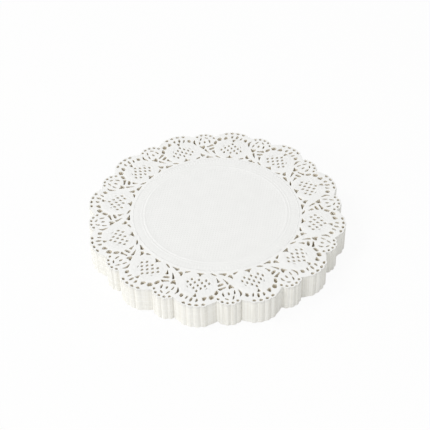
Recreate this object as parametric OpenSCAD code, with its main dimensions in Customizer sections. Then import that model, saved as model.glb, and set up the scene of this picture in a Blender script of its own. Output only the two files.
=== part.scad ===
// Stack of round paper lace doilies.
// The stack stands on the XY plane with its axis on Z. One lace medallion lies on the +X axis.
// The loose doilies on top are drawn one by one. Each bundle below them is one nested block.

/* [Stack] */
// Loose doilies on top of the stack
loose_sheets = 10; // [2:1:12]
// Bundles of nested doilies under them
bundle_count = 6; // [1:1:8]
// Doilies in one bundle
bundle_sheets = 15; // [5:1:30]
// Thickness of the paper
paper_t = 0.06; // [0.04:0.01:0.1]
// Air that the embossing keeps between two doilies
sheet_gap = 0.065; // [0.04:0.005:0.1]

/* [Outline] */
// Diameter over the scallops
doily_d = 114; // [112:1:120]
// Distance from the middle of the holes along the edge out to the edge
edge_margin = 1.35; // [1.2:0.05:1.5]
// Radius of the lobes along the edge of a large scallop
crown_lobe_r = 2.2; // [2:0.1:2.4]
// Radius of the lobes along the edge of a small scallop
rosette_lobe_r = 1.7; // [1.5:0.1:1.9]
// Height of the lobes over the scallop that carries them
lobe_rise = 0.5; // [0.5:0.05:0.7]
// Distance from the edge in to the middle of a rosette
rosette_inset = 7.7; // [7.2:0.1:8]
// Turn of the rosettes away from midway between two medallions
rosette_lean = 0.6; // [-1:0.1:1]

/* [Embossing] */
// Height of the embossed forms, which press through to the back of the paper
emboss = 0.03; // [0.01:0.005:0.035]
// Radius of the embossed medallion
medallion_edge_r = 7.2; // [7:0.1:7.5]
// Inner radius of the embossed ring around the plain middle
ring_r = 31; // [20:0.5:34]
// Width of that ring
ring_w = 1; // [0.5:0.1:2]

/* [Medallion] */
// Distance between two holes in a row of the lattice
lattice_step = 3; // [2.8:0.1:3.2]
// Distance between two rows of the lattice
lattice_row = 1.55; // [1.45:0.05:1.65]
// Shift of the lattice outwards from the middle of the medallion
lattice_shift = 0.2; // [0:0.1:0.4]
// Diameter of a hole in the lattice
lattice_hole = 1; // [0.7:0.05:1.1]
// Diameter of the hole over the lattice
stem_hole = 1.3; // [1:0.1:1.5]
// Distance from the middle of the medallion out to that hole
stem_r = 5.9; // [5.7:0.1:6.2]
// Length of the leaf cut under the lattice
foot_l = 2.8; // [2:0.1:3.2]
// Distance from the middle of the medallion in to that cut
foot_r = 6; // [5.6:0.1:6.2]

/* [Scallop] */
// Radius of the arch of holes around a medallion
arch_r = 8.7; // [8.5:0.1:8.9]
// Diameter of the holes at the top of the arch
arch_top_hole = 1.3; // [0.9:0.1:1.4]
// Diameter of the holes at the sides of the arch
arch_side_hole = 1.8; // [1.4:0.1:1.9]
// Radius of the row of holes along the edge of the scallop
crown_r = 11.2; // [11:0.1:11.4]
// Angle between two holes of that row
crown_step = 14; // [13:0.5:15]
// Diameter of the holes along every edge
edge_hole = 1.2; // [0.8:0.05:1.3]

/* [Rosette] */
// Diameter of the hole in the middle of a rosette
rosette_hole = 1.1; // [0.8:0.1:1.3]
// Radius of the ring of petals
petal_r = 2.7; // [2.6:0.05:2.9]
// Diameter of the round petals
petal_hole = 1.15; // [0.9:0.05:1.3]
// Length of the long petals
petal_l = 2; // [1.6:0.1:2.1]
// Width of the long petals
petal_w = 0.8; // [0.6:0.05:0.9]
// Radius of the row of holes along the edge of the rosette
rosette_row_r = 5.1; // [4.9:0.1:5.3]

/* [Leaves] */
// Diameter of the large holes between the leaves
bud_hole = 1.75; // [1.4:0.05:1.9]
// Width of the narrow leaf cuts
slit_w = 0.9; // [0.7:0.05:1]
// Width of the broad leaf cuts
leaf_w = 1.2; // [1:0.05:1.3]

/* [Hidden] */
$fn = 32;
repeats = 12;
repeat_a = 360 / repeats;
sheet_pitch = paper_t + sheet_gap;
bundle_pitch = bundle_sheets * sheet_pitch;

// Holes in each row of the lattice, from the middle of the doily outwards
lattice_counts = [3, 4, 3, 2, 1];

// Angles of the edge holes around a medallion, from the way out
crown_turns = [for (k = [0 : 3]) crown_step * (k - 1.5)];

// Angles of the arch's small holes at its top and large holes at its sides
arch_top_turns = [7, -9, -25];
arch_side_turns = [27, 47, 67, -41];

// Angles of the petals and of the edge holes around a rosette, from the way out
round_petals = [-20, 42];
long_petals = [-80, 104];
rosette_turns = [for (k = [0 : 4]) 25 * k - 62.5];

// The middle lobes of a large scallop just reach the full diameter
crown_edge_r = crown_r + edge_margin;
rosette_edge_r = rosette_row_r + edge_margin;
lobe_ring_r = crown_edge_r - crown_lobe_r;
lobe_side = lobe_ring_r * sin(crown_step / 2);
lobe_out = lobe_ring_r * cos(crown_step / 2);
medallion_r = sqrt(pow(doily_d / 2 - crown_lobe_r, 2) - pow(lobe_side, 2)) - lobe_out;
rosette_r = doily_d / 2 - rosette_inset;
rosette_a = repeat_a / 2 + rosette_lean;

// Leaf cuts as [outwards, around, turn, length, width], from the middle of the medallion
leaf_cuts = [
  [-6.6, 5.3, 71, 2.4, slit_w],
  [-7.5, 9.2, 104, 3.2, leaf_w],
  [-6.6, -5.7, 107, 2.2, slit_w],
  [-3.6, 7.8, 40, 2.5, slit_w],
  [-3.6, 10.8, 50, 3.3, slit_w],
  [0.7, 10, 119, 3.1, slit_w],
  [-1.1, 9.2, 125, 2.4, leaf_w],
  [4.4, -7.7, -10, 3.4, leaf_w]
];

// Large holes between the leaves as [outwards, around], from the middle of the medallion
bud_places = [[-5.5, -8.1], [-0.9, 13.3]];

function numbered(name, n) = str(name, n < 10 ? "_0" : "_", n);
doily_names = [for (n = [1 : loose_sheets]) numbered("doily", n)];
bundle_names = [for (n = [1 : bundle_count]) numbered("bundle", n)];

module each_repeat() {
  for (n = [0 : repeats - 1])
    rotate(n * repeat_a)
      children();
}

module at_medallion() {
  translate([medallion_r, 0])
    children();
}

module at_rosette() {
  rotate(rosette_a)
    translate([rosette_r, 0])
      children();
}

module around(r, angles) {
  for (a = angles)
    rotate(a)
      translate([r, 0])
        children();
}

// A leaf between two equal arcs, with its length along X
module leaf(l, w) {
  arc_r = (l * l + w * w) / (4 * w);
  intersection() {
    translate([0, arc_r - w / 2])
      circle(arc_r);
    translate([0, w / 2 - arc_r])
      circle(arc_r);
  }
}

module lattice_holes() {
  middle_row = (len(lattice_counts) - 1) / 2;
  for (row = [0 : len(lattice_counts) - 1], k = [0 : lattice_counts[row] - 1]) {
    out = lattice_shift + (row - middle_row) * lattice_row;
    side = (k - (lattice_counts[row] - 1) / 2) * lattice_step;
    translate([out, side])
      circle(d = lattice_hole);
  }
}

// The embossed medallion, with the holes that lie in it
module medallion() {
  difference() {
    circle(medallion_edge_r);
    lattice_holes();
    translate([stem_r, 0])
      circle(d = stem_hole);
    translate([-foot_r, 0])
      rotate(90)
        leaf(foot_l, leaf_w);
  }
}

module scallop_holes() {
  at_medallion() {
    around(arch_r, arch_top_turns)
      circle(d = arch_top_hole);
    around(arch_r, arch_side_turns)
      circle(d = arch_side_hole);
    for (cut = leaf_cuts)
      translate([cut[0], cut[1]])
        rotate(cut[2])
          leaf(cut[3], cut[4]);
    for (place = bud_places)
      translate(place)
        circle(d = bud_hole);
    around(crown_r, crown_turns)
      circle(d = edge_hole);
  }
}

module rosette_holes() {
  at_rosette() {
    circle(d = rosette_hole);
    around(petal_r, round_petals)
      circle(d = petal_hole);
    around(petal_r, long_petals)
      rotate(90)
        leaf(petal_l, petal_w);
    around(rosette_row_r, rosette_turns)
      circle(d = edge_hole);
  }
}

// A scallop whose edge swells into a lobe at each turn
module scallop(edge_r, lobe_r, turns) {
  circle(edge_r - lobe_rise);
  around(edge_r - lobe_r, turns)
    circle(lobe_r);
}

module outline() {
  circle(rosette_r);
  each_repeat() {
    at_medallion()
      scallop(crown_edge_r, crown_lobe_r, crown_turns);
    at_rosette()
      scallop(rosette_edge_r, rosette_lobe_r, rosette_turns);
  }
}

// The ground of the lace, which lies flat, around the embossed forms
module ground() {
  difference() {
    outline();
    circle(ring_r + ring_w);
    each_repeat() {
      at_medallion()
        circle(medallion_edge_r);
      scallop_holes();
      rosette_holes();
    }
  }
  circle(ring_r);
}

// The embossed forms, which stand over the ground
module raised() {
  difference() {
    circle(ring_r + ring_w);
    circle(ring_r);
  }
  each_repeat()
    at_medallion()
      medallion();
}

module lace_plate(t) {
  linear_extrude(t)
    ground();
  translate([0, 0, emboss])
    linear_extrude(t)
      raised();
}

// One loose doily, counted from the top of the stack
module doily(n) {
  color("white")
    translate([0, 0, bundle_count * bundle_pitch + (loose_sheets - n) * sheet_pitch])
      lace_plate(paper_t);
}

// One nested bundle of doilies, counted from the top of the stack
module bundle(n) {
  color("ivory")
    translate([0, 0, (bundle_count - n) * bundle_pitch])
      lace_plate(bundle_pitch - sheet_gap);
}

for (n = [1 : loose_sheets])
  doily(n);
for (n = [1 : bundle_count])
  bundle(n);
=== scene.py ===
import math
import random

import bmesh
import bpy
import numpy as np
from mathutils import Matrix, Quaternion, Vector
from mathutils.geometry import delaunay_2d_cdt


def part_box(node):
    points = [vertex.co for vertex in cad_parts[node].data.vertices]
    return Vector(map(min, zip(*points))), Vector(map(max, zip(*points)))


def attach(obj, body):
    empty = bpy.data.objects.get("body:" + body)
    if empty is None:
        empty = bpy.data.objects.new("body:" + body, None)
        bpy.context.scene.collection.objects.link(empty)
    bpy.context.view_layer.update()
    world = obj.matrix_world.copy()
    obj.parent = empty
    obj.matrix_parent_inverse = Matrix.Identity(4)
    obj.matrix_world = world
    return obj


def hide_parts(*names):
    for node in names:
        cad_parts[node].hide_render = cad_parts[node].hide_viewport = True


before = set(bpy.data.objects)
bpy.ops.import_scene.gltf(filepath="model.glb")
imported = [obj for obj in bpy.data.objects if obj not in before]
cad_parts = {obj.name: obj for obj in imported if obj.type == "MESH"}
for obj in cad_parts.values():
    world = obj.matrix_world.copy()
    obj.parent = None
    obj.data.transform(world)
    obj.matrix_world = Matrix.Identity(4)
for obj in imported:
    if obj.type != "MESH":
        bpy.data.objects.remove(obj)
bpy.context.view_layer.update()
mm = 0.001
print("frame loaded,", len(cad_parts), "paper pieces")


def addObject(name, data):
    made = bpy.data.objects.new(name, data)
    bpy.context.scene.collection.objects.link(made)
    return made


def wayTo(azimuth, elevation):  # from the stack out to a camera or lamp, in degrees from the front
    a, e = math.radians(azimuth), math.radians(elevation)
    return Vector((math.sin(a) * math.cos(e), -math.cos(a) * math.cos(e), math.sin(e)))


# camera at the photograph's angle

cameraSettings = {
    "azimuth": 10.48,
    "elevation": 42.53,
    "roll": -1.41,  # the photograph hangs a little to one side
    "distance": 488.2,  # mm
    "target": (-1.33, 4.88, 6.0),
    "lens": 91.9,
    "sensor": 36,
    "near": 0.01,  # m from the camera to the nearest thing that it shows
}


def makeCamera(s):
    data = bpy.data.cameras.new("camera")
    data.lens = s["lens"]
    data.sensor_width = s["sensor"]
    data.clip_start = s["near"]
    camera = addObject("camera", data)
    back = wayTo(s["azimuth"], s["elevation"])
    roll = Quaternion((0, 0, 1), math.radians(s["roll"]))
    camera.location = (Vector(s["target"]) + back * s["distance"]) * mm
    camera.rotation_euler = ((-back).to_track_quat("-Z", "Y") @ roll).to_euler()
    bpy.context.scene.camera = camera


makeCamera(cameraSettings)
print("camera set")


# materials

def linear(code):  # sRGB hex to linear colour
    parts = [int(code[i:i + 2], 16) / 255 for i in (1, 3, 5)]
    return [p / 12.92 if p <= 0.04045 else ((p + 0.055) / 1.055) ** 2.4 for p in parts] + [1]


def addNode(tree, kind, settings=None, links=None):
    node = tree.nodes.new(kind)
    for key, value in (settings or {}).items():
        if key == "stops":  # places and colours along a ramp
            for stop, (place, code) in zip(node.color_ramp.elements, value):
                stop.position = place
                stop.color = linear(code)
        elif isinstance(key, str) and hasattr(node, key):
            setattr(node, key, value)
        else:
            node.inputs[key].default_value = value
    for key, source in (links or {}).items():
        tree.links.new(source, node.inputs[key])
    return node


def newMaterial(name, roughness, specular):
    material = bpy.data.materials.new(name)
    material.use_nodes = True
    tree = material.node_tree
    shader = tree.nodes["Principled BSDF"]
    shader.inputs["Roughness"].default_value = roughness
    shader.inputs["Specular IOR Level"].default_value = specular
    return material, tree, shader


def waveScale(spacing):  # bands of the Wave node are pi / 10 apart at a scale of 1
    return math.pi / 10 / (spacing * mm)


paperSettings = {
    "plain": ("#F2F2F0", "#F4F4F2"),
    "pressed": ("#F4F4F2", "#F7F7F5"),  # painted highlight: the threads of the lace are painted whiter than the plain paper, as their raised faces catch the light; the dies leave them smoother
    "roughness": 0.85,
    "specular": 0.25,
    "cloud": 6,  # mm across the pale clouds that fibres leave in the sheet
    "cloudStops": (0.35, 0.65),
    "fibre": 0.25,  # mm, the felt of the paper's face
    "fibreBump": (0.25, 0.02),  # strength, and depth in mm
    "linen": 1.2,  # mm between the pressed threads, drawn a little coarse so that they show
    "linenBump": (1, 0.055),
    "linenEdge": (30.0, 31.0),  # mm, the linen ends at the pressed ring
    "stipple": 1.3,  # mm between the pressed dots in the medallions
    "stippleBump": (1, 0.6),  # a quarter of this depth at most, where the paper is half pressed
}


def embossedPaper(s):  # bleached paper pressed between dies: matt white, with a linen weave in the plain middle
    material, tree, shader = newMaterial("embossed_paper", s["roughness"], s["specular"])
    place = addNode(tree, "ShaderNodeTexCoord").outputs["Object"]
    press = addNode(tree, "ShaderNodeAttribute", {"attribute_name": "pressed"}).outputs["Fac"]

    cloud = addNode(
        tree, "ShaderNodeTexNoise", {"Scale": 1 / (s["cloud"] * mm), "Detail": 3}, {"Vector": place}
    )
    plain, pressed = [
        addNode(
            tree, "ShaderNodeValToRGB", {"stops": list(zip(s["cloudStops"], s[tones]))},
            {"Fac": cloud.outputs["Fac"]},
        ).outputs["Color"]
        for tones in ("plain", "pressed")
    ]
    # painted highlight: the press share mixes in the whiter tones, so that the raised threads read as lit
    colour = addNode(tree, "ShaderNodeMix", {"data_type": "RGBA"}, {0: press, 6: plain, 7: pressed})
    tree.links.new(colour.outputs[2], shader.inputs["Base Color"])

    fade = addNode(tree, "ShaderNodeMath", {"operation": "SUBTRACT", 0: 1.0}, {1: press})
    halfway = addNode(tree, "ShaderNodeMath", {"operation": "MULTIPLY"}, {0: press, 1: fade.outputs[0]})
    dots = addNode(tree, "ShaderNodeTexVoronoi", {"Scale": 1 / (s["stipple"] * mm)}, {"Vector": place})
    stipple = addNode(
        tree, "ShaderNodeMath", {"operation": "MULTIPLY"}, {0: halfway.outputs[0], 1: dots.outputs["Distance"]}
    )
    stippleBump = addNode(
        tree, "ShaderNodeBump", {"Strength": s["stippleBump"][0], "Distance": s["stippleBump"][1] * mm},
        {"Height": stipple.outputs[0]},
    )

    felt = addNode(
        tree, "ShaderNodeTexNoise", {"Scale": 1 / (s["fibre"] * mm), "Detail": 4}, {"Vector": place}
    )
    feltBump = addNode(
        tree, "ShaderNodeBump", {"Strength": s["fibreBump"][0], "Distance": s["fibreBump"][1] * mm},
        {"Height": felt.outputs["Fac"], "Normal": stippleBump.outputs["Normal"]},
    )

    warp, weft = [
        addNode(
            tree, "ShaderNodeTexWave",
            {"bands_direction": way, "Scale": waveScale(s["linen"]), "Distortion": 0.6, "Detail": 1},
            {"Vector": place},
        ).outputs["Fac"]
        for way in ("X", "Y")
    ]
    weave = addNode(tree, "ShaderNodeMath", {"operation": "MAXIMUM"}, {0: warp, 1: weft})
    flat = addNode(tree, "ShaderNodeVectorMath", {"operation": "MULTIPLY", 1: (1, 1, 0)}, {0: place})
    reach = addNode(tree, "ShaderNodeVectorMath", {"operation": "LENGTH"}, {0: flat.outputs["Vector"]})
    middle = addNode(
        tree, "ShaderNodeMapRange",
        {"From Min": s["linenEdge"][0] * mm, "From Max": s["linenEdge"][1] * mm, "To Min": 1, "To Max": 0},
        {"Value": reach.outputs["Value"]},
    )
    linen = addNode(
        tree, "ShaderNodeMath", {"operation": "MULTIPLY"}, {0: weave.outputs[0], 1: middle.outputs["Result"]}
    )
    linenBump = addNode(
        tree, "ShaderNodeBump", {"Strength": s["linenBump"][0], "Distance": s["linenBump"][1] * mm},
        {"Height": linen.outputs[0], "Normal": feltBump.outputs["Normal"]},
    )
    tree.links.new(linenBump.outputs["Normal"], shader.inputs["Normal"])
    return material


edgeSettings = {
    # the deep tone is painted shade in the grooves of the nicks, the pale one the edge's own tone
    "pale": "#F1F0EB",
    "deep": "#E8E6DF",
    "roughness": 0.95,
    "specular": 0.2,
    "nick": 0.7,  # mm along the edge from one nick of the die to the next
    "nickStops": (0.35, 0.6),
    "nickBump": (0.5, 0.1),  # strength, and depth in mm
    "run": 60,  # mm that a nick runs down the stack
    "layer": 0.125,  # mm from sheet to sheet
    "layerBump": (0.2, 0.01),
}

holeSettings = dict(edgeSettings, pale="#FAF4E6", deep="#F2E9D6")  # painted light: paler and warmer than the outer edge, for the light that soaks through the threads and bounces warm inside the holes


def cutPaperEdge(name, s):  # paper cut at one stroke: warm and rough, and each nick of the die runs straight down; the low sides of the nicks are painted darker, as painted shade in their grooves
    material, tree, shader = newMaterial(name, s["roughness"], s["specular"])
    place = addNode(tree, "ShaderNodeTexCoord").outputs["Object"]
    along = 1 / (s["nick"] * mm)
    stretch = addNode(
        tree, "ShaderNodeMapping", {"Scale": (along, along, 1 / (s["run"] * mm))}, {"Vector": place}
    )
    nicks = addNode(
        tree, "ShaderNodeTexNoise", {"Scale": 1, "Detail": 2}, {"Vector": stretch.outputs["Vector"]}
    )
    # painted shade: the deep tone goes where the nicks' bump is low, the pale one where it is high
    nickShadeTint = addNode(
        tree, "ShaderNodeValToRGB", {"stops": list(zip(s["nickStops"], (s["deep"], s["pale"])))},
        {"Fac": nicks.outputs["Fac"]},
    )
    tree.links.new(nickShadeTint.outputs["Color"], shader.inputs["Base Color"])

    layers = addNode(
        tree, "ShaderNodeTexWave", {"bands_direction": "Z", "Scale": waveScale(s["layer"])}, {"Vector": place}
    )
    layerBump = addNode(
        tree, "ShaderNodeBump", {"Strength": s["layerBump"][0], "Distance": s["layerBump"][1] * mm},
        {"Height": layers.outputs["Fac"]},
    )
    nickBump = addNode(
        tree, "ShaderNodeBump", {"Strength": s["nickBump"][0], "Distance": s["nickBump"][1] * mm},
        {"Height": nicks.outputs["Fac"], "Normal": layerBump.outputs["Normal"]},
    )
    tree.links.new(nickBump.outputs["Normal"], shader.inputs["Normal"])
    return material


paper = embossedPaper(paperSettings)
rimEdge = cutPaperEdge("cut_paper_edge", edgeSettings)
# the same cut paper as the outer edge, with painted light in its tones
holeEdgePaintedLight = cutPaperEdge("hole_edge_painted_light", holeSettings)
print("paper and edge materials made")


# the lace: one repeat is drawn and filled, then turned round the doily

laceSettings = {
    "repeats": 12,
    "seam": -10.15,  # degrees, a way in between the holes where one repeat meets the next
    "radius": 57.0,
    "play": 0.1,  # mm that the edge stays inside the full diameter, so that a sheet may lie out of line
    "medallion": 44.4,  # mm out to the middle of a medallion
    "crown": (12.55, 2.2, (-21, -7, 7, 21)),  # edge radius, lobe radius and turns of a large scallop
    "rosette": (49.3, 15.6),  # mm out and degrees round to the middle of a rosette
    "rosetteEdge": (6.45, 1.7, (-62.5, -37.5, -12.5, 12.5, 37.5)),
    "lobeRise": 0.5,  # mm that a lobe stands over its scallop
    "edgeStep": 0.45,  # mm between two points along the edge
    "edgeProbes": 1500,  # looks taken along the edge of a repeat to find the creases
    "softening": 36,  # percent of each side that a hole's rounded corners take
    "growth": 1.2,  # holes are drawn larger by this, since their round corners take some of them away
}

latticeSettings = {
    "counts": (3, 4, 3, 2, 1),
    "step": 3.0,
    "row": 1.58,
    "out": 44.65,  # mm out to the middle row
    "width": 1.05,
    "height": 1.6,
}

edgeCutSettings = {
    "crownRow": 11.2,  # mm from the medallion to the holes along its edge
    "crownSize": (1.65, 1.15),
    "rosetteRow": 5.1,
    "rosetteSize": (1.3, 1.1),
}

# holes of one repeat as [around, out] in mm, with the medallion straight out at 0
openCuts = {
    "foot": [(-1.8, 37.75), (1.8, 37.75), (0.45, 38.55), (0, 39.65), (-0.45, 38.55)],
    "stem": [(-1.2, 51.1), (0.45, 51.1), (0.25, 50.2), (-0.15, 49.2), (-0.5, 50.2)],
    "slitLeft": [(-4.45, 45.3), (-4.1, 45.6), (-3.8, 46.5), (-4.15, 46.2)],
    "slitRight": [(4.15, 45.6), (3.85, 45.8), (3.5, 46.7), (3.85, 46.4)],
    "archFarLeft": [(-6.5, 51.3), (-5.5, 52.2), (-4.7, 50.8), (-5.8, 49.9)],
    "archLeft": [(-3.95, 52.8), (-3.25, 52.6), (-2.6, 51.1), (-3.5, 51.3)],
    "archTopLeft": [(-1.75, 54.1), (-1.0, 53.5), (-0.8, 51.9), (-1.45, 51.9), (-1.95, 53.0)],
    "archTopRight": [(0.6, 54.1), (1.65, 53.1), (1.15, 52.1), (0.55, 52.4)],
    "archRight": [(2.75, 51.5), (3.9, 53.2), (4.75, 51.1), (4.2, 50.7)],
    "archFarRight": [(5.5, 50.7), (6.6, 52.0), (7.9, 50.3), (6.5, 49.3)],
    "archSide": [(7.35, 48.5), (8.35, 49.2), (9.05, 47.3), (8.0, 46.4)],
    "crescent": [
        (-8.65, 50.8), (-7.5, 50.0), (-7.05, 49.1), (-7.35, 48.0), (-7.9, 46.8), (-7.95, 48.6), (-8.0, 49.6),
    ],
    "comma": [(8.4, 45.5), (9.7, 46.4), (10.35, 45.3), (11.6, 44.5), (11.1, 44.0), (10.0, 44.8)],
    "bud": [(8.3, 44.3), (9.4, 43.7), (10.4, 42.8), (9.7, 42.1), (8.1, 43.3)],
    "leafInner": [(7.65, 42.2), (8.8, 41.3), (7.75, 40.5), (6.7, 39.5), (7.45, 41.0)],
    "leafOuter": [(11.75, 42.5), (12.3, 41.5), (10.9, 40.5), (9.3, 39.5), (10.9, 41.3)],
    "baseRight": [(4.0, 37.4), (5.2, 38.2), (6.9, 38.5), (5.9, 37.6), (5.0, 37.3)],
    "baseLeft": [(-6.35, 38.5), (-5.4, 38.15), (-4.1, 37.4), (-5.4, 37.4), (-6.4, 37.6)],
    "wedge": [(7.0, 37.15), (9.0, 37.35), (10.0, 37.95), (10.6, 36.2), (9.3, 36.5)],
    "spur": [(11.3, 38.2), (12.6, 38.3), (13.5, 39.2), (13.3, 37.6), (12.2, 36.8)],
    "star": [(13.0, 45.0), (13.75, 44.05), (15.1, 44.1), (14.0, 43.1), (13.0, 42.3), (12.55, 43.6)],
}

# petals of a rosette, from its own middle
rosetteCuts = {
    "heart": [(-0.4, 0.3), (0, 0.9), (0.4, 0.3), (0.4, -0.3), (0, -0.9), (-0.4, -0.3)],
    "petalLeft": [(-2.2, 1.5), (-1.9, 0.9), (-2.1, -0.3), (-2.35, -0.95), (-2.85, 0.3)],
    "petalTopLeft": [(-1.75, 2.2), (-1.7, 2.9), (-0.5, 3.6), (-0.45, 2.9)],
    "petalTopRight": [(1.1, 3.4), (1.9, 2.8), (2.2, 1.3), (1.5, 1.7), (1.3, 2.6)],
    "petalRight": [(2.25, 0.65), (2.85, -0.3), (2.6, -1.75), (2.2, -0.9), (2.1, -0.1)],
}


def kite(width, height):  # a lattice hole, a little longer outwards
    return [(0, -0.45 * height), (width / 2, 0), (0, 0.55 * height), (-width / 2, 0)]


def drop(width, height):  # a hole along the edge, broad towards the edge
    side, shoulder = width / 2, 0.3 * width
    return [
        (0, -height / 2), (side, 0.05 * height), (shoulder, height / 2),
        (-shoulder, height / 2), (-side, 0.05 * height),
    ]


def placed(points, around, out, turn=0):
    c, s = math.cos(math.radians(turn)), math.sin(math.radians(turn))
    return [(around + x * c + y * s, out - x * s + y * c) for x, y in points]


def edgeRow(size, row, turns, out=0):  # drops along a scallop, whose middle lies this far out
    ways = [(turn, math.sin(math.radians(turn)), math.cos(math.radians(turn))) for turn in turns]
    return [placed(drop(*size), row * s, out + row * c, turn) for turn, s, c in ways]


def repeatHoles():
    lace, lattice, cut = laceSettings, latticeSettings, edgeCutSettings
    middleRow = len(lattice["counts"]) // 2
    holes = list(openCuts.values())
    for row, count in enumerate(lattice["counts"]):
        for k in range(count):
            holes.append(placed(
                kite(lattice["width"], lattice["height"]),
                (k - (count - 1) / 2) * lattice["step"],
                lattice["out"] + (row - middleRow) * lattice["row"],
            ))
    holes += edgeRow(cut["crownSize"], cut["crownRow"], lace["crown"][2], lace["medallion"])
    rosette = list(rosetteCuts.values())
    rosette += edgeRow(cut["rosetteSize"], cut["rosetteRow"], lace["rosetteEdge"][2])
    out, lean = lace["rosette"]
    around = out * math.sin(math.radians(lean))
    ahead = out * math.cos(math.radians(lean))
    return holes + [placed(points, around, ahead, lean) for points in rosette]


def softLoops(holes, softening, growth):  # rounds the corners of each hole and gives its points in order, in mm
    loops = []
    for points in holes:
        bm = bmesh.new()
        face = bm.faces.new([bm.verts.new((out, around, 0)) for around, out in points])
        middle = Matrix.Translation(-face.calc_center_median_weighted())
        bmesh.ops.scale(bm, vec=(growth, growth, 1), space=middle, verts=face.verts[:])
        bmesh.ops.bevel(
            bm, geom=face.verts[:], offset=softening, offset_type="PERCENT", affect="VERTICES",
            segments=3 if len(points) < 5 else 2, profile=0.5, material=-1,
        )
        bm.normal_update()
        face = max(bm.faces, key=lambda f: f.calc_area())
        loop = [v.co.xy.copy() for v in face.verts]
        loops.append(loop if face.normal.z > 0 else loop[::-1])
        bm.free()
    return loops


def polar(r, angle):
    return Vector((r * math.cos(angle), r * math.sin(angle)))


def edgeDiscs():  # the scalloped edge is the outermost of these round lobes, each a middle and a radius in mm
    lace = laceSettings
    discs = [(Vector((0, 0)), lace["rosette"][0])]
    for n in range(-1, 3):  # with the repeats on both sides, whose lobes reach in
        turn = math.radians(n * 360 / lace["repeats"])
        lean = turn + math.radians(lace["rosette"][1])
        scallops = (
            (turn, lace["medallion"], lace["crown"]),
            (lean, lace["rosette"][0], lace["rosetteEdge"]),
        )
        for angle, out, (edgeR, lobeR, lobeTurns) in scallops:
            middle = polar(out, angle)
            discs.append((middle, edgeR - lace["lobeRise"]))
            for lobe in lobeTurns:
                way = polar(1, angle + math.radians(lobe))
                discs.append((middle + (edgeR - lobeR) * way, lobeR))
    return discs


def outermost(discs, angle):  # mm out to the edge, and which lobe it belongs to
    way = polar(1, angle)
    reaches = []
    for k, (middle, r) in enumerate(discs):
        off = middle.x * way.y - middle.y * way.x
        if abs(off) < r:
            reach = middle.dot(way) + math.sqrt(r * r - off * off)
            reaches.append((reach - laceSettings["play"], k))
    return max(reaches)


def edgeAngles(discs, start, sweep):  # points along each lobe, with one in every crease between two lobes
    s = laceSettings
    probes = [start + sweep * k / s["edgeProbes"] for k in range(s["edgeProbes"] + 1)]
    owners = [outermost(discs, a)[1] for a in probes]
    creases = [a for a, lobe, last in zip(probes[1:], owners[1:], owners) if lobe != last]
    ends = [start] + creases + [start + sweep]
    angles = []
    for a, b in zip(ends, ends[1:]):
        count = max(1, round((b - a) * s["radius"] / s["edgeStep"]))
        angles += [a + (b - a) * k / count for k in range(count)]
    return angles + [start + sweep]


reliefSettings = {
    "laceStart": 36.6,  # mm out to where the pressed lace begins
    "laceFade": 0.6,
    "cord": 0.06,  # mm that the threads of the lace stand up between the holes
    "cordWidth": 0.32,
    "ground": 0.025,  # mm that is left of it away from the holes
    "groundWidth": 1.1,
    "medallionRims": ((7.0, 0.09, 0.45), (5.7, 0.03, 0.35)),  # radius, height and half width
    "rimFade": 0.5,  # mm from a hole in which these rims run out
    "rings": (
        (31.2, 0.15, 0.5), (32.5, 0.11, 0.4), (33.6, 0.06, 0.35), (34.7, 0.05, 0.35), (36.2, 0.05, 0.5),
    ),
    "ripples": 14,  # pressed rays to one repeat, between the rings
    "rippleHeight": 0.1,
    "rippleBand": (33.1, 35.9),
    "rippleFade": 0.5,
    "stippleEdge": 6.6,  # mm from the middle of a medallion, inside which its ground is half pressed
    "stippleFade": 0.6,
    "threadWidth": 0.5,  # mm beside a hole that are fully pressed
}


def ramp(value):
    return np.clip(value, 0, 1)


def bell(distance, width):
    return np.exp(-(distance / width) ** 2)


def reliefAt(x, y, gap):  # height of the pressed forms in mm, gap is the distance to the nearest cut
    s = reliefSettings
    r = np.hypot(x, y)
    fromMedallion = np.hypot(x - laceSettings["medallion"], y)
    inLace = ramp((r - s["laceStart"] + s["laceFade"]) / s["laceFade"])
    cord = s["cord"] * (1 - bell(gap, s["cordWidth"]))
    sink = (s["cord"] - s["ground"]) * (1 - bell(gap, s["groundWidth"]))
    z = inLace * (cord - sink) + (1 - inLace) * s["ground"]
    for radius, height, width in s["medallionRims"]:
        z += height * bell(fromMedallion - radius, width) * ramp(gap / s["rimFade"])
    for radius, height, width in s["rings"]:
        z += height * bell(r - radius, width)
    low, high = s["rippleBand"]
    band = ramp((r - low) / s["rippleFade"]) * ramp((high - r) / s["rippleFade"])
    rays = 0.5 + 0.5 * np.cos(np.arctan2(y, x) * s["ripples"] * laceSettings["repeats"])
    return z + s["rippleHeight"] * band * rays


def pressAt(x, y, gap):  # 1 on the pressed threads of the lace, half in the medallions, 0 on the plain paper; this share sets the stipple and how much painted highlight the paper gets
    s = reliefSettings
    fromMedallion = np.hypot(x - laceSettings["medallion"], y)
    inLace = ramp((np.hypot(x, y) - s["laceStart"] + s["laceFade"]) / s["laceFade"])
    inMedallion = ramp((s["stippleEdge"] - fromMedallion) / s["stippleFade"])
    return inLace * np.maximum(1 - 0.5 * inMedallion, bell(gap, s["threadWidth"]))


def turned(points, angle):
    x, y = points.T
    c, s = np.cos(angle), np.sin(angle)
    return np.column_stack((x * c - y * s, x * s + y * c))


def nearest(points, p):
    return np.hypot(*(points - p).T).min()


weld = 0.002  # mm, points nearer than this are one

gridSettings = {  # shares of the spacing
    "row": 0.866,  # from row to row, which makes the triangles even
    "fromRings": 0.7,  # from the outermost ring
    "fromCuts": 0.6,  # from the cuts and the seam
}


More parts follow.
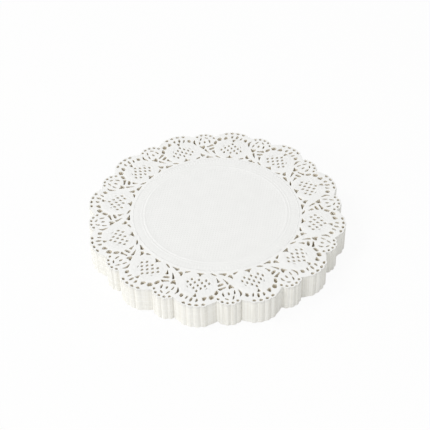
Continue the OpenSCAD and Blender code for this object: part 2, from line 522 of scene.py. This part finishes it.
def gridPoints(spacing, inner, fixed, discs, start, sweep):  # evenly spread points of the lace, clear of the cuts
    s = gridSettings
    low, high = inner + s["fromRings"] * spacing, laceSettings["radius"]
    points = []
    for j in range(int(2 * high / (spacing * s["row"]))):
        for i in range(int(2 * high / spacing)):
            p = Vector((-high + (i + 0.5 * (j % 2)) * spacing, -high + j * spacing * s["row"]))
            turn = (math.atan2(p.y, p.x) - start) % (2 * math.pi)
            if not low < p.length < high or turn >= sweep:
                continue
            if p.length >= outermost(discs, start + turn)[0]:
                continue
            if nearest(fixed, p) > s["fromCuts"] * spacing:
                points.append(p)
    return points


def fillRepeat(sheet):  # one repeat of a sheet: points in mm, triangles, marks of the rim, shares of the press
    s, rings, spacing = laceSettings, sheet["rings"], sheet["spacing"]
    start, sweep = math.radians(s["seam"]), 2 * math.pi / s["repeats"]
    discs = edgeDiscs()
    rim = [polar(outermost(discs, a)[0], a) for a in edgeAngles(discs, start, sweep)]
    inner, outer = rings[-1][0], rim[0].length
    steps = max(2, round((outer - inner) / spacing))
    seam = [r for r, count in rings] + [inner + (outer - inner) * k / steps for k in range(1, steps)]
    left, right = [[polar(r, a) for r in seam] for a in (start, start + sweep)]
    holes = softLoops(repeatHoles(), s["softening"], s["growth"])

    points, loops = [], []
    for loop in [[Vector((0, 0))] + left + rim + right[::-1]] + holes:
        loops.append(list(range(len(points), len(points) + len(loop))))
        points += loop
    fixed = np.array(points)
    for r, count in rings:
        points += [polar(r, start + sweep * k / count) for k in range(1, count)]
    points += gridPoints(spacing, inner, fixed, discs, start, sweep)
    filled = delaunay_2d_cdt(points, [], loops, 0, 1e-6)
    faces = [face for face, sources in zip(filled[2], filled[5]) if list(sources) == [0]]  # not in a hole

    flat = np.array(filled[0])
    cuts = np.array([p for loop in holes for p in loop] + rim)
    cuts = np.vstack([turned(cuts, k * sweep) for k in (-1, 0, 1)])  # the next repeats' too
    gap = np.array([nearest(cuts, p) for p in flat])
    turns = np.round(np.arctan2(flat[:, 1], flat[:, 0]) / sweep)
    x, y = turned(flat, -turns * sweep).T  # beside the medallion at 0, so that the relief meets at the seam
    rimPoints = np.array(rim)
    onRim = [nearest(rimPoints, p) < weld for p in flat]
    return np.column_stack((flat, reliefAt(x, y, gap))), faces, onRim, pressAt(x, y, gap)


def sheetFace(repeat):  # the whole face of a doily, as a bmesh in metres
    points, faces, onRim, press = repeat
    bm = bmesh.new()
    rimMark = bm.verts.layers.int.new("rim")
    pressMark = bm.verts.layers.float.new("pressed")
    verts = [bm.verts.new(Vector(p) * mm) for p in points]
    for v, mark, share in zip(verts, onRim, press):
        v[rimMark] = int(mark)
        v[pressMark] = share
    for face in faces:
        bm.faces.new([verts[i] for i in face])
    bmesh.ops.delete(bm, geom=[v for v in bm.verts if not v.link_faces], context="VERTS")
    more = laceSettings["repeats"] - 1
    bmesh.ops.spin(
        bm, geom=bm.verts[:] + bm.edges[:] + bm.faces[:], cent=(0, 0, 0), axis=(0, 0, 1),
        angle=2 * math.pi * more / (more + 1), steps=more, use_duplicate=True,
    )
    bmesh.ops.remove_doubles(bm, verts=bm.verts[:], dist=weld * mm)
    bmesh.ops.recalc_face_normals(bm, faces=bm.faces[:])
    if sum(f.normal.z for f in bm.faces) < 0:
        bmesh.ops.reverse_faces(bm, faces=bm.faces[:])
    return bm


# radius in mm and points to a repeat of each ring in the plain middle
rippleRings = [(33.2 + 0.6 * k, 56) for k in range(5)]  # four points to a ray

topSheet = {
    "thickness": 0.065,  # its finer relief needs a little more room over the next sheet
    "spacing": 0.45,
    "rings": [(6, 2), (12, 3), (18, 4), (24, 6), (28, 10), (30.4, 20)]
    + [(30.7 + 0.16 * k, 28) for k in range(15)]
    + rippleRings + [(36.0, 40), (36.3, 40), (36.6, 40)],
}

lowerSheet = {
    "thickness": 0.1,
    "spacing": 1.1,
    "rings": [(10, 2), (20, 4), (28, 8), (30.6, 14)]
    + [(r, 28) for r in (31.2, 31.8, 32.15, 32.5, 32.9)]
    + rippleRings + [(36.2, 40), (36.6, 40)],
}

topRepeat = fillRepeat(topSheet)
lowerRepeat = fillRepeat(lowerSheet)
print("lace repeat filled:", len(topRepeat[1]), "and", len(lowerRepeat[1]), "triangles")


# pieces

pieceSettings = {
    "upright": 0.6,  # a face whose normal points up or down by less than this is a cut edge
    "sharp": 35,  # degrees between two faces that show an edge
    "shift": 0.03,  # mm that a sheet may lie out of line with the next
    "turn": 0.02,  # degrees
}


def addPiece(name, bm, node):
    s = pieceSettings
    rimMark = bm.verts.layers.int["rim"]
    for f in bm.faces:
        f.smooth = True
        onRim = all(v[rimMark] for v in f.verts)
        f.material_index = 0 if abs(f.normal.z) > s["upright"] else 1 if onRim else 2
    mesh = bpy.data.meshes.new(name)
    bm.to_mesh(mesh)
    bm.free()
    for material in (paper, rimEdge, holeEdgePaintedLight):
        mesh.materials.append(material)
    mesh.set_sharp_from_angle(angle=math.radians(s["sharp"]))
    piece = addObject(name, mesh)
    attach(piece, node)
    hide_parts(node)


def sheetShift(rng):  # a sheet lies a hair out of line with the next
    s = pieceSettings
    angle = rng.uniform(0, 2 * math.pi)
    off = polar(rng.uniform(0, s["shift"]) * mm, angle)
    turn = math.radians(rng.uniform(-s["turn"], s["turn"]))
    return Matrix.Translation((off.x, off.y, 0)) @ Matrix.Rotation(turn, 4, "Z")


def newVerts(made):
    return [g for g in made["geom"] if isinstance(g, bmesh.types.BMVert)]


def newEdges(made):
    return [g for g in made["geom"] if isinstance(g, bmesh.types.BMEdge)]


def makeDoily(name, node, repeat, thickness, rng):
    bm = sheetFace(repeat)
    under = bmesh.ops.extrude_face_region(bm, geom=bm.faces[:], use_keep_orig=True)
    bmesh.ops.translate(bm, verts=newVerts(under), vec=(0, 0, -thickness * mm))
    bmesh.ops.recalc_face_normals(bm, faces=bm.faces[:])
    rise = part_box(node)[1].z - max(v.co.z for v in bm.verts)
    place = Matrix.Translation((0, 0, rise)) @ sheetShift(rng)
    bmesh.ops.transform(bm, matrix=place, verts=bm.verts[:])
    bm.normal_update()
    addPiece(name, bm, node)


bundleSettings = {
    "sheets": 15,
    "groove": 0.02,  # mm that the gap between two sheets goes in
    "height": 1.85,  # mm down to the bundle below, less a hair
}


def ringPlace(rng, inset, down):  # where the edge of the next sheet lies
    share = 1 - inset / laceSettings["radius"]
    narrow = Matrix.Diagonal((share, share, 1, 1))
    return Matrix.Translation((0, 0, -down)) @ sheetShift(rng) @ narrow


def makeBundle(name, node, repeat, rng):
    s = bundleSettings
    bm = sheetFace(repeat)
    rimMark = bm.verts.layers.int["rim"]
    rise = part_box(node)[1].z - max(v.co.z for v in bm.verts)
    bmesh.ops.translate(bm, verts=bm.verts[:], vec=(0, 0, rise))
    height = min(s["height"] * mm, min(v.co.z for v in bm.verts))  # the lowest bundle ends on the floor
    openEdges = [e for e in bm.edges if e.is_boundary]
    outer = [e for e in openEdges if all(v[rimMark] for v in e.verts)]
    inner = [e for e in openEdges if not all(v[rimMark] for v in e.verts)]
    bottom = bmesh.ops.duplicate(bm, geom=bm.faces[:])
    holeWalls = bmesh.ops.extrude_edge_only(bm, edges=inner)
    bmesh.ops.translate(bm, verts=newVerts(bottom) + newVerts(holeWalls), vec=(0, 0, -height))
    last, steps = Matrix.Identity(4), 2 * s["sheets"]
    for k in range(1, steps + 1):  # out to the middle of each sheet's edge, then in to the gap below it
        step = bmesh.ops.extrude_edge_only(bm, edges=outer)
        if k < steps:
            place = ringPlace(rng, 0 if k % 2 else s["groove"], k * height / steps)
        else:
            place = Matrix.Translation((0, 0, -height))
        bmesh.ops.transform(bm, matrix=place @ last.inverted(), verts=newVerts(step))
        outer, last = newEdges(step), place
    bmesh.ops.remove_doubles(bm, verts=bm.verts[:], dist=weld * mm)
    bmesh.ops.recalc_face_normals(bm, faces=bm.faces[:])
    bm.normal_update()
    addPiece(name, bm, node)


rng = random.Random(7)
doilies = [n for n in sorted(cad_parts) if n.startswith("doily")]
bundles = [n for n in sorted(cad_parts) if n.startswith("bundle")]
makeDoily("lace_" + doilies[0], doilies[0], topRepeat, topSheet["thickness"], rng)
for node in doilies[1:]:
    makeDoily("lace_" + node, node, lowerRepeat, lowerSheet["thickness"], rng)
print("loose doilies made:", len(doilies))
for node in bundles:
    makeBundle("nested_" + node, node, lowerRepeat, rng)
print("bundles made:", len(bundles))


# floor and light

stageSettings = {
    "floor": "#F6F6F5",
    "white": 0.9,  # share of plain white that the camera sees of the floor, the rest shows the shadow
    "size": 3,  # m from the middle of the floor to its edge
    "sky": 0.715,
    "lamps": {  # azimuth, elevation, distance and width in m, and level
        "key": (-80, 50, 1.6, 0.64, 0.21),
        "fill": (-30, 25, 1.8, 0.5, 0.24),
    },
}


def seenRays(tree):  # 1 for the rays that show the white studio: to the camera, off a gloss and through glass
    path = addNode(tree, "ShaderNodeLightPath")
    seen = path.outputs["Is Camera Ray"]
    for kind in ("Is Glossy Ray", "Is Transmission Ray"):
        either = addNode(tree, "ShaderNodeMath", {"operation": "MAXIMUM"}, {0: seen, 1: path.outputs[kind]})
        seen = either.outputs[0]
    return seen


def makeFloor(s):  # painted board: matt and near white
    bm = bmesh.new()
    bmesh.ops.create_grid(bm, x_segments=1, y_segments=1, size=s["size"])
    mesh = bpy.data.meshes.new("floor")
    bm.to_mesh(mesh)
    bm.free()
    material, tree, shader = newMaterial("studio_floor", roughness=1, specular=0)
    shader.inputs["Base Color"].default_value = linear(s["floor"])
    share = addNode(tree, "ShaderNodeMath", {"operation": "MULTIPLY", 1: s["white"]}, {0: seenRays(tree)})
    white = addNode(tree, "ShaderNodeEmission", {"Color": (1, 1, 1, 1), "Strength": 1})
    mix = addNode(
        tree, "ShaderNodeMixShader", {},
        {0: share.outputs[0], 1: shader.outputs["BSDF"], 2: white.outputs["Emission"]},
    )
    tree.links.new(mix.outputs["Shader"], tree.nodes["Material Output"].inputs["Surface"])
    mesh.materials.append(material)
    floor = addObject("floor", mesh)


def makeLight(s):
    world = bpy.data.worlds.new("studio")
    bpy.context.scene.world = world
    world.use_nodes = True
    tree = world.node_tree
    sky = addNode(tree, "ShaderNodeMapRange", {"To Min": s["sky"], "To Max": 1.0}, {"Value": seenRays(tree)})
    background = tree.nodes["Background"]
    background.inputs["Color"].default_value = (1, 1, 1, 1)
    tree.links.new(sky.outputs["Result"], background.inputs["Strength"])
    for name, (azimuth, elevation, distance, width, level) in s["lamps"].items():
        lamp = bpy.data.lights.new(name, "AREA")
        lamp.shape = "DISK"
        lamp.size = width
        lamp.energy = level * (math.pi * distance) ** 2
        light = addObject(name, lamp)
        back = wayTo(azimuth, elevation)
        light.location = back * distance
        light.rotation_euler = (-back).to_track_quat("-Z", "Y").to_euler()


makeFloor(stageSettings)
makeLight(stageSettings)
bpy.context.scene.view_settings.view_transform = "Standard"
print("floor and light made")
